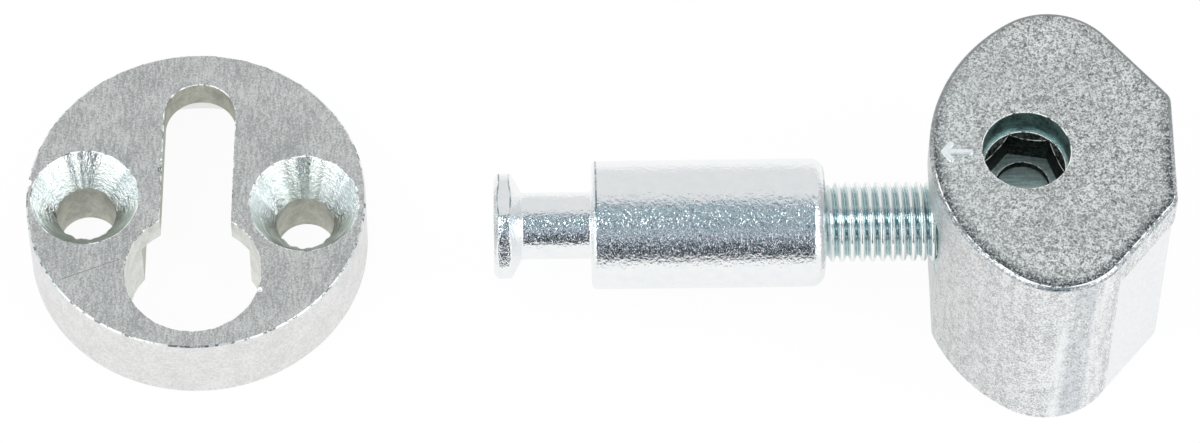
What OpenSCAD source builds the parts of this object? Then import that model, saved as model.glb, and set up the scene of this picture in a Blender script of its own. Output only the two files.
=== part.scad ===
// Hidden bolt connector for a handrail: a shoulder bolt is drawn into a small cast housing by
// a pair of bevel gears, and its head hooks into a round keyhole plate let into the post.
// Millimetres. The housing stands on z = 0 with its drive hole on the Z axis, and the bolt
// runs along -X. The plate lies apart, face up, where the bolt points.

/* [Housing] */
// Height of the housing from its foot to its top face
housing_h = 19.2; // [17:0.1:26]
// Thickness of the separate cap that closes the top
cap_h = 2.8; // [2.5:0.05:3.2]
// Depth of the bolt's axis below the top face
axis_depth = 10; // [9.8:0.1:11]
// Width across the two rounded sides
housing_w = 22.9; // [21.5:0.1:26]
// Radius of the curved nose, that of the drilled hole it is pushed into
nose_r = 12.5; // [12:0.1:14]
// Reach of the nose in front of the drive axis
nose_reach = 6.75; // [6.6:0.05:7.5]
// Reach of the rear face behind the drive axis
rear_reach = 10.45; // [10:0.05:14]
// Width of the rear face with its small corners
rear_w = 10; // [8:0.1:12]
// Radius of the two rounded sides
side_r = 5.3; // [4:0.1:6]
// Radius of the two rear corners
rear_r = 1; // [0.5:0.1:1.5]
// Distance from the drive axis to the flat pad on the body's nose
flat_reach = 6.15; // [6.05:0.05:6.4]
// Height of the pad's upper edge above the bolt's axis
flat_rise = 5; // [4.9:0.05:5.3]
// How far the body stands out beyond the edge of the top face
body_proud = 0.15; // [0:0.05:0.25]
// How far the body's two flanks are set in behind its rounded corners
flank_recess = 0.1; // [0.05:0.05:0.4]
// Radius of the rounded edge around the top face, by which the cap's side stands out from it
top_round = 0.3; // [0.25:0.05:0.5]
// Length of the three pegs that hold the cap in the body
peg_l = 2.2; // [1.5:0.1:3]
// Radius of the pegs
peg_r = 1; // [0.6:0.05:1.2]

/* [Drive gear] */
// Radius of the hole in the cap that the key goes through
key_hole_r = 3.2; // [3:0.05:3.4]
// Depth of the drive gear's rim below the top face
rim_depth = 2.38; // [2.2:0.02:2.45]
// Hexagon of the drive socket, across its flats
socket_af = 5.1; // [4:0.05:5.2]
// Depth of the socket's floor below the top face
socket_depth = 5.05; // [4:0.05:5.1]
// Turn of the hexagon about the drive axis, in degrees
socket_turn = -10; // [-30:1:30]
// Radius of the round pilot in the socket's floor
pilot_r = 2; // [1.5:0.05:2.1]
// Depth of the round pilot
pilot_depth = 0.65; // [0.3:0.05:0.8]
// Radius of the hub that turns in the cap
hub_r = 4; // [3.8:0.05:4.4]
// Radius of the disc that turns in the body's round room
disc_r = 4.95; // [4.85:0.01:5]
// Radius of the gear's foot, which stands on the floor of that room
foot_r = 2.4; // [2.2:0.05:2.5]

/* [Bevel teeth] */
// Teeth of the drive gear
drive_teeth = 12; // [10:2:14]
// Teeth of the nut gear
nut_teeth = 15; // [15:2:17]
// Pitch radius of the nut gear at the outer ends of its teeth
nut_pitch_r = 5.3; // [5.1:0.05:5.35]
// Length of the teeth along their cones
tooth_face = 1.5; // [1:0.05:1.7]
// Height of a tooth above its pitch cone
tooth_addendum = 0.56; // [0.4:0.02:0.58]
// Depth of a gap below its pitch cone
tooth_dedendum = 0.66; // [0.6:0.02:0.7]
// Pressure angle of the teeth, in degrees
tooth_pressure = 22.5; // [20:0.5:25]
// Play taken off each flank of a tooth
tooth_play = 0.07; // [0.05:0.01:0.1]

/* [Nut gear] */
// Radius of the nut's journal in the front wall
journal_r = 3.9; // [3.7:0.05:4.2]
// Thickness of the front wall that takes the bolt's pull
front_wall = 1.07; // [0.9:0.01:1.2]
// Distance from the drive axis to the nut's inner end
nut_inner_x = 2.9; // [2.8:0.05:3.2]
// Radius of the nut's inner end
nut_inner_r = 3.6; // [3.4:0.05:3.7]

/* [Bolt] */
// Length of the bolt from its head to the end of its thread
bolt_l = 39.2; // [38:0.1:39.4]
// Place of the bolt's thread end behind the drive axis
bolt_end_x = 0.5; // [-2:0.1:0.6]
// Hexagon of the head, across its flats
head_af = 7.7; // [6.5:0.05:7.8]
// Length of the head with its tapered underside
head_l = 2.04; // [1.6:0.02:2.6]
// Turn of the head about the bolt's axis, in degrees
head_turn = 30; // [0:0.5:60]
// Radius of the neck behind the head
neck_r = 2.45; // [2:0.05:2.5]
// Length of the neck
neck_l = 5.18; // [4:0.02:8]
// Radius of the plain shoulder
shoulder_r = 4.73; // [4:0.01:5]
// Length of the plain shoulder
shoulder_l = 17.13; // [10:0.01:17.2]
// Radius of the rounded edge at the shoulder's thread end
shoulder_round = 1; // [0.4:0.1:1.4]
// Radius of the broken edge at the shoulder's neck end
shoulder_break = 0.35; // [0.1:0.05:0.6]
// Outer radius of the thread
thread_r = 2.95; // [2.7:0.01:3]
// Furthest that the bolt is drawn in from the modelled place
draw_in = 8.1; // [4:0.1:8.2]

/* [Keyhole plate] */
// Outer radius of the plate
plate_r = 12.6; // [12.5:0.1:14]
// Thickness of the plate
plate_t = 6.7; // [6:0.1:8]
// Thickness of the lip that the head hooks behind, at the round hole
lip_t = 2.1; // [2:0.05:3]
// How much thicker the lip is at the far end of its slot
lip_ramp = 0.5; // [0:0.05:0.8]
// Width of the narrow slot for the neck
slot_w = 5.3; // [5:0.05:6]
// Distance from the plate's centre to the centre of the slot's round end
slot_reach = 7.32; // [6:0.02:7.5]
// Radius of the round hole that the head enters by
entry_r = 5.05; // [4.6:0.05:5.4]
// Distance from the plate's centre to the centre of the round hole
entry_reach = 6.17; // [5:0.01:7]
// Width of the pocket behind the lip, a little more than the head's flats
pocket_w = 8; // [7.9:0.05:8.6]
// Distance from the plate's centre to the far end of the pocket
pocket_reach = 12; // [11.8:0.05:12.1]
// Distance between the two screw holes
screw_gap = 16.26; // [16:0.02:16.6]
// Radius of the screw holes
screw_r = 2.2; // [1.6:0.05:2.3]
// Radius of the countersinks at the face
sink_r = 4.05; // [3.6:0.05:4.2]
// Depth of the countersinks
sink_depth = 2.7; // [1.5:0.1:3.5]
// Bevel on the plate's outer edges
plate_bevel = 0.12; // [0.05:0.01:0.3]
// Distance from the drive axis back to the plate's centre
plate_back = 60.76; // [58:0.01:90]
// Distance of the plate's centre to the side of the bolt's axis
plate_side = 4.11; // [0:0.01:20]
// Turn of the plate about its own axis, in degrees
plate_turn = -1.6; // [-180:0.1:180]

/* [Hidden] */
$fn = 96;

// Running gap round journals, hubs and the thread
run = 0.05;
// Gap between faces that turn or slide past each other
face_gap = 0.03;
// Gap round the tips of the teeth
tip_gap = 0.15;
// How far a cutter reaches past the face that it opens
past = 1;
// Thickness of the slices that the rounded edge is drawn over
slice = 0.01;

axis_h = housing_h - axis_depth;
cap_z = housing_h - cap_h;
rim_z = housing_h - rim_depth;
socket_z = housing_h - socket_depth;

// Plan of the housing: a nose arc, two side arcs and two rear corners. The side arcs touch the
// nose arc from inside. A body wider than the nose's circle has them beside the circle's centre.
nose_cx = nose_r - nose_reach;
side_back = sqrt(max(0, pow(nose_r - side_r, 2) - pow(housing_w / 2 - side_r, 2)));
side_c = [nose_cx - side_back, housing_w / 2 - side_r];
side_gap = norm([side_back, side_c[1]]);
side_angle = atan2(side_c[1], side_back) - acos(min(1, (nose_r - side_r) / side_gap));
rear_c = [rear_reach - rear_r, rear_w / 2 - rear_r];
flank_run = norm(rear_c - side_c);
flank_slant = asin((side_r - rear_r) / flank_run);
flank_angle = atan2(rear_c[1] - side_c[1], rear_c[0] - side_c[0]) - flank_slant;
flank_l = flank_run * cos(flank_slant);
round_steps = 4;
peg_inset = 2.2;
peg_spots = [
    [side_c[0] + peg_inset / 2, side_c[1] + peg_inset / 2],
    [side_c[0] + peg_inset / 2, -side_c[1] - peg_inset / 2],
    [rear_reach - peg_inset, 0]
];

// The two pitch cones meet on the drive axis at the bolt's height
drive_pitch_r = nut_pitch_r * drive_teeth / nut_teeth;
cone_l = norm([nut_pitch_r, drive_pitch_r]);
drive_cone = atan(drive_teeth / nut_teeth);
nut_cone = 90 - drive_cone;
inner_share = (cone_l - tooth_face) / cone_l;
disc_z = cap_z - face_gap - axis_h;
foot_z = thread_r + 0.5;
mouth_depth = 0.4;
nut_face_x = flat_reach - front_wall - face_gap;
journal_x = flat_reach - run;

bolt_head_x = bolt_end_x - bolt_l;
thread_end_l = 0.6;
tunnel_end = bolt_end_x + draw_in + 0.3;

// A layer of the housing, its outline grown by so much all round, with its flanks set in
module housing_layer(h, grow, set_in = 0) {
    out = [-cos(side_angle), sin(side_angle)];
    wedge = 2 * nose_r * out;
    translate([nose_cx, 0, 0]) intersection() {
        cylinder(h = h, r = nose_r + grow);
        linear_extrude(height = h)
            polygon([[0, 0], wedge, [-2 * nose_r, 0], [wedge[0], -wedge[1]]]);
    }
    linear_extrude(height = h)
        polygon([side_c, rear_c, [rear_c[0], -rear_c[1]], [side_c[0], -side_c[1]]]);
    translate([0, -rear_c[1], 0]) cube([rear_reach + grow, 2 * rear_c[1], h]);
    for (side = [0, 1]) mirror([0, side, 0]) {
        translate(side_c) cylinder(h = h, r = side_r + grow);
        translate(rear_c) cylinder(h = h, r = rear_r + grow);
        translate(side_c) rotate([0, 0, flank_angle])
            cube([flank_l, side_r + grow - set_in, h]);
        // Straight cheek between the nose arc and the side arc, where they don't touch
        if (side_gap > nose_r - side_r + slice) linear_extrude(height = h)
            polygon([[nose_cx, 0], [nose_cx, 0] + (nose_r + grow) * out,
                     side_c + (side_r + grow) * out, side_c]);
    }
}

function involute(angle) = tan(angle) - angle * PI / 180;

// Half of a tooth's angle at radius r of a gear rolled out flat, in degrees
function flank_half(r, pitch, count) =
    let (base = pitch * cos(tooth_pressure),
         at_pitch = 90 / count - tooth_play / pitch * 180 / PI,
         turn = involute(tooth_pressure) - involute(acos(min(1, base / r))))
    at_pitch + turn * 180 / PI;

// One flank of a tooth from root to tip, as [depth below the pitch line, half width]
function tooth_side(pitch, count, steps) = [
    for (i = [0 : steps])
        let (r = pitch - tooth_dedendum - run + (tooth_addendum + tooth_dedendum + run) * i / steps,
             half = flank_half(r, pitch, count))
        [pitch - r * cos(half), r * sin(half)]
];

// Straight bevel teeth round +Z, tapering to the point where the cones meet
module bevel_teeth(teeth, cone, pitch_r, phase) {
    side = tooth_side(pitch_r / cos(cone), teeth / cos(cone), 5);
    outline = concat(side, [for (i = [len(side) - 1 : -1 : 0]) [side[i][0], -side[i][1]]]);
    for (i = [0 : teeth - 1])
        rotate([0, 0, (i + phase) * 360 / teeth])
            translate([cone_l * sin(cone), 0, cone_l * cos(cone)])
                rotate([0, 180 + cone, 0])
                    linear_extrude(height = tooth_face, scale = inner_share)
                        polygon(outline);
}

// Foot of the outer tooth gaps, as [radius, height above the point where the cones meet]
function root_point(cone, pitch_r) = [
    pitch_r - tooth_dedendum * cos(cone),
    pitch_r / tan(cone) + tooth_dedendum * sin(cone)
];

// Outer corner of a tooth's tip, in the same way
function tip_point(cone, pitch_r) = [
    pitch_r + tooth_addendum * cos(cone),
    pitch_r / tan(cone) - tooth_addendum * sin(cone)
];

// A U-shaped room round the bolt's axis, open to the top, from one place on the axis to another
module axis_room(from, to, r) {
    translate([from, 0, axis_h]) {
        rotate([0, 90, 0]) cylinder(h = to - from, r = r);
        translate([0, -r, 0]) cube([to - from, 2 * r, housing_h]);
    }
}

// The nut gear goes into its room from above, then forward until its journal is in the wall
module nut_room() {
    tip = tip_point(nut_cone, nut_pitch_r);
    root = root_point(nut_cone, nut_pitch_r);
    wall_x = -flat_reach + front_wall;
    back_x = wall_x + journal_x - nut_inner_x + tip_gap;
    axis_room(wall_x, back_x, root[0] + 2 * tip_gap);
    axis_room(-root[1] - tip_gap, back_x, tip[0] + tip_gap);
}

module gear_housing() {
    color("#b9bcbc") difference() {
        housing_layer(housing_h, body_proud, flank_recess);
        // Level top that the cap lies on
        translate([-2 * nose_r, -2 * nose_r, cap_z]) cube([4 * nose_r, 4 * nose_r, housing_h]);
        // Flat pad on the nose
        translate([-flat_reach - nose_r, -nose_r, -past])
            cube([nose_r, 2 * nose_r, axis_h + flat_rise + past]);
        // Journal hole in the front wall, and the tunnel that the thread is drawn into
        translate([-flat_reach - past, 0, axis_h]) rotate([0, 90, 0])
            cylinder(h = front_wall + 2 * past, r = journal_r + run);
        translate([-flat_reach + front_wall, 0, axis_h]) rotate([0, 90, 0])
            cylinder(h = tunnel_end + flat_reach - front_wall, r = thread_r + 2 * run);
        nut_room();
        // Round room of the drive gear
        translate([0, 0, axis_h + foot_z - face_gap]) cylinder(h = housing_h, r = disc_r + run);
        for (spot = peg_spots)
            translate([spot[0], spot[1], cap_z - peg_l - 2 * tip_gap])
                cylinder(h = housing_h, r = peg_r + face_gap);
    }
}

module housing_cap() {
    side_h = cap_h - top_round;
    color("#aaadad") {
        difference() {
            union() {
                translate([0, 0, cap_z]) housing_layer(side_h, top_round);
                hull() for (i = [0 : round_steps]) {
                    rise = top_round * sin(90 * i / round_steps);
                    translate([0, 0, cap_z + side_h + rise - slice])
                        housing_layer(slice, top_round * cos(90 * i / round_steps));
                }
            }
            translate([0, 0, cap_z - past]) cylinder(h = housing_h, r = key_hole_r);
            translate([0, 0, cap_z - past])
                cylinder(h = rim_z - cap_z + past + face_gap, r = hub_r + run);
        }
        for (spot = peg_spots)
            translate([spot[0], spot[1], cap_z - peg_l]) cylinder(h = peg_l, r = peg_r);
    }
}

module drive_gear() {
    root = root_point(drive_cone, drive_pitch_r);
    socket_r = socket_af / 2 / cos(30);
    hub_z = rim_z - axis_h;
    color("#8f9a9b") translate([0, 0, axis_h]) difference() {
        union() {
            rotate_extrude()
                polygon([[0, foot_z], [foot_r, foot_z], root * inner_share, root,
                         [disc_r, root[1] + tip_gap], [disc_r, disc_z], [hub_r, disc_z],
                         [hub_r, hub_z], [0, hub_z]]);
            bevel_teeth(drive_teeth, drive_cone, drive_pitch_r, 0);
        }
        rotate([0, 0, socket_turn]) translate([0, 0, socket_z - axis_h])
            cylinder(h = housing_h, r = socket_r, $fn = 6);
        translate([0, 0, hub_z - mouth_depth])
            cylinder(h = mouth_depth, r1 = socket_af / 2, r2 = socket_r + run);
        translate([0, 0, socket_z - axis_h - pilot_depth])
            cylinder(h = pilot_depth + past, r = pilot_r);
    }
}

module nut_gear() {
    root = root_point(nut_cone, nut_pitch_r);
    color("#9aa3a3") translate([0, 0, axis_h]) rotate([0, -90, 0]) difference() {
        union() {
            rotate_extrude()
                polygon([[0, nut_inner_x], [nut_inner_r, nut_inner_x], root * inner_share, root,
                         [root[0] + tip_gap, root[1] + tip_gap], [root[0] + tip_gap, nut_face_x],
                         [journal_r, nut_face_x], [journal_r, journal_x], [0, journal_x]]);
            bevel_teeth(nut_teeth, nut_cone, nut_pitch_r, 0.5);
        }
        translate([0, 0, nut_inner_x - past]) cylinder(h = flat_reach, r = thread_r + run);
    }
}

module shoulder_bolt() {
    head_corner = head_af / 2 / cos(30);
    face_r = head_af / 2 - 0.35;
    face_slope = 1.73;
    taper_slope = 1.9;
    shoulder_x = head_l + neck_l;
    thread_x = shoulder_x + shoulder_l;
    color("#c9d0d4") translate([bolt_head_x, 0, axis_h]) rotate([0, 90, 0]) {
        intersection() {
            rotate([0, 0, head_turn]) cylinder(h = head_l, r = head_corner, $fn = 6);
            rotate_extrude()
                polygon([[0, 0], [face_r, 0],
                         [head_corner, (head_corner - face_r) / face_slope],
                         [head_corner, head_l - (head_corner - neck_r) / taper_slope],
                         [neck_r, head_l], [0, head_l]]);
        }
        cylinder(h = shoulder_x + past, r = neck_r);
        translate([0, 0, shoulder_x]) rotate_extrude() {
            translate([0, shoulder_break])
                square([shoulder_r, shoulder_l - shoulder_break - shoulder_round]);
            square([shoulder_r - shoulder_break, shoulder_l - shoulder_round]);
            square([shoulder_r - shoulder_round, shoulder_l]);
            translate([shoulder_r - shoulder_break, shoulder_break]) circle(r = shoulder_break);
            translate([shoulder_r - shoulder_round, shoulder_l - shoulder_round])
                circle(r = shoulder_round);
        }
        cylinder(h = bolt_l - thread_end_l, r = thread_r);
        translate([0, 0, bolt_l - thread_end_l])
            cylinder(h = thread_end_l, r1 = thread_r, r2 = thread_r - thread_end_l);
    }
}

module keyhole_plate() {
    lip_z = plate_t - lip_t;
    color("#b4b6b3") translate([-plate_back, plate_side, 0]) rotate([0, 0, plate_turn]) difference() {
        rotate_extrude()
            polygon([[0, 0], [plate_r - plate_bevel, 0], [plate_r, plate_bevel],
                     [plate_r, plate_t - plate_bevel], [plate_r - plate_bevel, plate_t], [0, plate_t]]);
        // Round hole that the head enters by
        translate([0, -entry_reach, -past]) cylinder(h = plate_t + 2 * past, r = entry_r);
        // Slot through the lip for the neck
        translate([0, slot_reach, -past]) cylinder(h = plate_t + 2 * past, r = slot_w / 2);
        translate([-slot_w / 2, -entry_reach, -past])
            cube([slot_w, entry_reach + slot_reach, plate_t + 2 * past]);
        // Pocket behind the lip, whose roof comes down along the slot
        intersection() {
            translate([0, 0, -past]) cylinder(h = plate_t + past, r = pocket_reach);
            translate([-pocket_w / 2, 0, 0]) rotate([90, 0, 90])
                linear_extrude(height = pocket_w)
                    polygon([[-entry_reach, -past], [pocket_reach, -past],
                             [pocket_reach, lip_z - lip_ramp], [-entry_reach, lip_z]]);
        }
        // Countersunk screw holes
        for (side = [-1, 1]) translate([side * screw_gap / 2, 0, 0]) {
            translate([0, 0, -past]) cylinder(h = plate_t + 2 * past, r = screw_r);
            translate([0, 0, plate_t - sink_depth])
                cylinder(h = 2 * sink_depth, r1 = screw_r, r2 = 2 * sink_r - screw_r);
        }
    }
}

gear_housing();
housing_cap();
drive_gear();
nut_gear();
shoulder_bolt();
keyhole_plate();
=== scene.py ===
"""Looks of the handrail connector bolt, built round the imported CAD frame.

Shapes are drawn in millimetres in the row frame and turned into metres at the end of each piece.
"""

import math

import bmesh
import bpy
from mathutils import Matrix, Vector, noise


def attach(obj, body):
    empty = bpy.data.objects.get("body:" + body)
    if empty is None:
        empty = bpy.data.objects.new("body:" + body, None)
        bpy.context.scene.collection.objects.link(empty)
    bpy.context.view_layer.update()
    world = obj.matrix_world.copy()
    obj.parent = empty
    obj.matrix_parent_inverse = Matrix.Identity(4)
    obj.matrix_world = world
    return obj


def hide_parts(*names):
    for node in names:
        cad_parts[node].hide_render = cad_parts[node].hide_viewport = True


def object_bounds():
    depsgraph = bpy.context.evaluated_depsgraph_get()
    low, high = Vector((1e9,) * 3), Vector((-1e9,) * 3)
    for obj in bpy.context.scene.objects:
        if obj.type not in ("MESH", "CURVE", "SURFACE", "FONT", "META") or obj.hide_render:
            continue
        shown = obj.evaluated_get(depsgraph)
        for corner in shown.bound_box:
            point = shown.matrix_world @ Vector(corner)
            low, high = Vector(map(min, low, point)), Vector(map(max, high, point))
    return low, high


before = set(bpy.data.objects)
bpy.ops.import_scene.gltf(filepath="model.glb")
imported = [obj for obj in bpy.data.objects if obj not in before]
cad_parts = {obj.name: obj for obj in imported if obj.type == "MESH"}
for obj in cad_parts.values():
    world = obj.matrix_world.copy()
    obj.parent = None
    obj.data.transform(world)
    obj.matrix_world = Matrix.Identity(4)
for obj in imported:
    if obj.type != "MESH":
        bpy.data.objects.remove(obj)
cad_lo, cad_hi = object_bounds()

MM = 0.001

# Sizes that part.scad states, in mm and degrees
HOUSING_H, CAP_H, AXIS_H = 19.2, 2.8, 9.2
NOSE_R, NOSE_REACH, SIDE_R, REAR_R = 12.5, 6.75, 5.3, 1.0
HOUSING_W, REAR_W, REAR_REACH = 22.9, 10.0, 10.45
FLAT_REACH, FLAT_RISE, FRONT_WALL = 6.15, 5.0, 1.07
BODY_PROUD, FLANK_STEP, TOP_ROUND = 0.15, 0.03, 0.3
PEG_L, PEG_R, PEG_INSET = 2.2, 1.0, 2.2
KEY_HOLE_R, RIM_DEPTH, SOCKET_AF, SOCKET_DEPTH, SOCKET_TURN = 3.2, 2.38, 5.1, 5.05, -10
PILOT_R, PILOT_DEPTH, MOUTH_DEPTH = 2.0, 0.65, 0.4
HUB_R, DISC_R, FOOT_R = 4.0, 4.95, 2.4
DRIVE_TEETH, NUT_TEETH, NUT_PITCH_R = 12, 15, 5.3
TOOTH_FACE, ADDENDUM, DEDENDUM, PRESSURE, PLAY = 1.5, 0.56, 0.66, 22.5, 0.07
JOURNAL_R, NUT_INNER_X, NUT_INNER_R = 3.9, 2.9, 3.6
BOLT_L, BOLT_END_X, HEAD_AF, HEAD_L = 39.2, 0.5, 7.7, 2.04
NECK_R, NECK_L, SHOULDER_R, SHOULDER_L = 2.45, 5.18, 4.73, 17.13
SHOULDER_ROUND, SHOULDER_BREAK, THREAD_R, PITCH = 1.0, 0.35, 2.95, 0.75
PLATE_R, PLATE_T, LIP_T, LIP_RAMP = 12.6, 6.7, 2.1, 0.5
SLOT_W, SLOT_REACH, ENTRY_R, ENTRY_REACH = 5.3, 7.32, 5.05, 6.17
POCKET_W, POCKET_REACH, SCREW_GAP, SCREW_R = 8.0, 12.0, 16.26, 2.2
SINK_R, SINK_DEPTH = 4.05, 2.7
PLATE_BACK, PLATE_SIDE, PLATE_TURN = 60.76, 4.11, -1.6
RUN, FACE_GAP, TIP_GAP, PAST = 0.05, 0.03, 0.15, 1.0
SLIDE_IN = 8.1

# Sizes of what only this script draws, in mm
THREAD_DEPTH, HEAD_TURN_R, HEAD_CORNER_R = 0.46, 4.04, 4.07
PLATE_EDGE, SINK_UNEVEN, RAGGED_UP = 0.11, 0.15, 0.07
BODY_EDGE, MOUTH_EDGE, GEAR_EDGE = 0.12, 0.07, 0.06
ARROW_RISE, ARROW_ROOT, ARROW_HALF, ARROW_TOP, ARROW_STEP = 0.12, 0.1, 0.22, 0.45, 0.08

CAP_Z = HOUSING_H - CAP_H
RIM_Z = HOUSING_H - RIM_DEPTH
HEAD_X = BOLT_END_X - BOLT_L


# ---- mesh helpers


def add(name, data):
    """A new object in the scene."""
    made = bpy.data.objects.new(name, data)
    bpy.context.scene.collection.objects.link(made)
    return made


def mesh_object(name, verts, faces):
    mesh = bpy.data.meshes.new(name)
    mesh.from_pydata(verts, [], faces)
    mesh.update()
    return add(name, mesh)


def skin(name, rings):
    """A closed mesh over rings of points of equal count, with a flat face at each end."""
    n = len(rings[0])
    verts = [p for ring in rings for p in ring]
    last = (len(rings) - 1) * n
    faces = [tuple(reversed(range(n))), tuple(range(last, last + n))]
    for k in range(0, last, n):
        faces += [(k + i, k + (i + 1) % n, k + n + (i + 1) % n, k + n + i) for i in range(n)]
    return mesh_object(name, verts, faces)


def circle(r, z, count=96, x=0.0, y=0.0):
    return [
        (x + r * math.cos(2 * math.pi * i / count), y + r * math.sin(2 * math.pi * i / count), z)
        for i in range(count)
    ]


def lathe(name, profile, count=96):
    """A solid of revolution about Z from its (radius, height) points, lowest end first."""
    return skin(name, [circle(r, z, count) for r, z in profile])


def prism(name, outline, low, high):
    """An upright solid over an outline of (x, y) points."""
    return skin(name, [[(x, y, low) for x, y in outline], [(x, y, high) for x, y in outline]])


def block(name, low, high):
    (x0, y0, z0), (x1, y1, z1) = low, high
    return prism(name, [(x0, y0), (x1, y0), (x1, y1), (x0, y1)], z0, z1)


def arc(centre, r, start, end, step):
    """Points of an arc from one angle to another, in degrees, no further apart than step."""
    count = max(2, math.ceil(abs(math.radians(end - start)) * r / step))
    return [
        (
            centre[0] + r * math.cos(math.radians(start + (end - start) * i / count)),
            centre[1] + r * math.sin(math.radians(start + (end - start) * i / count)),
        )
        for i in range(count + 1)
    ]


def quarter(steps):
    """Angles from 0 to a quarter turn, in radians."""
    return [math.pi / 2 * i / steps for i in range(steps + 1)]


# Turns a lathe's Z to +X
ALONG_X = Matrix(((0, 0, 1, 0), (1, 0, 0, 0), (0, 1, 0, 0), (0, 0, 0, 1)))


def move(made, matrix):
    """The object with its mesh moved, and its own place as it was."""
    made.data.transform(matrix)
    return made


def combine(target, operation, *others):
    """Exact booleans of the target with each of the others, which are used up."""
    for other in others:
        change = target.modifiers.new("combine", "BOOLEAN")
        change.operation, change.solver, change.object = operation, "EXACT", other
        bpy.context.view_layer.update()
        graph = bpy.context.evaluated_depsgraph_get()
        mesh = bpy.data.meshes.new_from_object(target.evaluated_get(graph))
        target.modifiers.clear()
        target.data = mesh
        bpy.data.objects.remove(other)
    return target


def cut(target, *cutters):
    combine(target, "DIFFERENCE", *cutters)


# Rubbed edges also carry a painted highlight: pale faces standing in for the bright lines that
# light draws along edges
WORN_AND_HIGHLIT = 9  # marks rubbed edges, until finish_piece gives them their material


def round_edges(made, width, wanted, angle, mark=-1):
    """Rounds the sharp edges whose middle is wanted, with mark as the new faces' material."""
    bm = bmesh.new()
    bm.from_mesh(made.data)
    bmesh.ops.remove_doubles(bm, verts=bm.verts, dist=1e-4)
    bmesh.ops.dissolve_degenerate(bm, edges=bm.edges, dist=1e-4)
    edges = [
        e
        for e in bm.edges
        if len(e.link_faces) == 2
        and e.calc_face_angle(0) > math.radians(angle)
        and wanted((e.verts[0].co + e.verts[1].co) / 2)
    ]
    bmesh.ops.bevel(
        bm, geom=edges, offset=width, offset_type="OFFSET", segments=2, profile=0.5,
        affect="EDGES", clamp_overlap=True, material=mark,
    )
    bm.to_mesh(made.data)
    bm.free()


def finish_piece(made, body, nodes, materials, pick=None, sharp=32):
    """Metres, smooth shading, materials by face, and the piece's place in the frame."""
    mesh = made.data
    materials = [*materials, worn_edge_and_highlight]
    worn_and_highlit = [face.material_index == WORN_AND_HIGHLIT for face in mesh.polygons]
    mesh.materials.clear()
    for material in materials:
        mesh.materials.append(material)
    for face, rubbed_and_highlit in zip(mesh.polygons, worn_and_highlit):
        face.use_smooth = True
        looks = worn_edge_and_highlight if rubbed_and_highlit else pick(face) if pick else materials[0]
        face.material_index = materials.index(looks)
    mesh.transform(Matrix.Scale(MM, 4))
    mesh.set_sharp_from_angle(angle=math.radians(sharp))
    even = made.modifiers.new("normals", "WEIGHTED_NORMAL")
    even.keep_sharp, even.weight = True, 60
    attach(made, body)
    if nodes:
        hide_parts(*nodes)


# ---- materials


def node(tree, kind, inputs=None, **settings):
    """A new node with these settings, and with values or links on its inputs."""
    made = tree.nodes.new(kind)
    for name, value in settings.items():
        setattr(made, name, value)
    for name, value in (inputs or {}).items():
        if isinstance(value, bpy.types.NodeSocket):
            tree.links.new(value, made.inputs[name])
        else:
            made.inputs[name].default_value = value
    return made


def plain_noise(tree, vector, scale, detail, rough=0.5):
    """Noise as a value round 0.5."""
    return node(
        tree, "ShaderNodeTexNoise",
        {"Vector": vector, "Scale": scale, "Detail": detail, "Roughness": rough},
    ).outputs["Fac"]


def grains(tree, place, scale, detail, rough, stretch=(1, 1, 1)):
    """Noise whose grains are about 1 / scale mm, as a value round 0.5."""
    mapped = node(
        tree, "ShaderNodeMapping", {"Vector": place, "Scale": [s / MM for s in stretch]}
    ).outputs[0]
    return plain_noise(tree, mapped, scale, detail, rough)


def spread(tree, value, low, high, to_low=0.0, to_high=1.0):
    """A value from low to high turned into one from to_low to to_high, and held beyond them."""
    return node(
        tree, "ShaderNodeMapRange",
        {"Value": value, "From Min": low, "From Max": high, "To Min": to_low, "To Max": to_high},
    ).outputs[0]


def math_node(tree, operation, a, b=0.0):
    return node(tree, "ShaderNodeMath", {0: a, 1: b}, operation=operation).outputs[0]


def times(tree, a, b):
    return math_node(tree, "MULTIPLY", a, b)


def weighted(tree, first, *others):
    """The sum of values, each given with its share."""
    total = times(tree, *first)
    for other in others:
        total = math_node(tree, "ADD", total, times(tree, *other))
    return total


def axes(tree, place):
    """The X, Y and Z of a place."""
    return node(tree, "ShaderNodeSeparateXYZ", {0: place}).outputs


def blend(tree, share, a, b):
    """Colours a and b mixed by share, either of them a socket or an (r, g, b)."""
    a, b = (c if isinstance(c, bpy.types.NodeSocket) else (*c, 1.0) for c in (a, b))
    return node(
        tree, "ShaderNodeMix", {"Factor": share, 6: a, 7: b}, data_type="RGBA"
    ).outputs[2]


def bump(tree, height, depth, strength=1.0, normal=None):
    """A bump of so many mm, on top of another bump if there is one."""
    inputs = {"Height": height, "Distance": depth * MM, "Strength": strength}
    if normal:
        inputs["Normal"] = normal
    return node(tree, "ShaderNodeBump", inputs).outputs[0]


def scratch(tree, place, start, end, half):
    """1 along a line between two places (x, y) in mm, and 0 further than half from it."""
    angle = math.atan2(end[1] - start[1], end[0] - start[0])
    middle = [(a + b) / 2 * MM for a, b in zip(start, end)]
    local = node(
        tree, "ShaderNodeMapping",
        {"Vector": place, "Location": (*middle, 0), "Rotation": (0, 0, angle)},
        vector_type="TEXTURE",
    ).outputs[0]
    spot = axes(tree, local)
    along, across = (math_node(tree, "ABSOLUTE", spot[axis]) for axis in "XY")
    along = math_node(tree, "LESS_THAN", along, math.dist(start, end) / 2 * MM)
    return times(tree, along, spread(tree, across, half * MM, half * 0.4 * MM))


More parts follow.
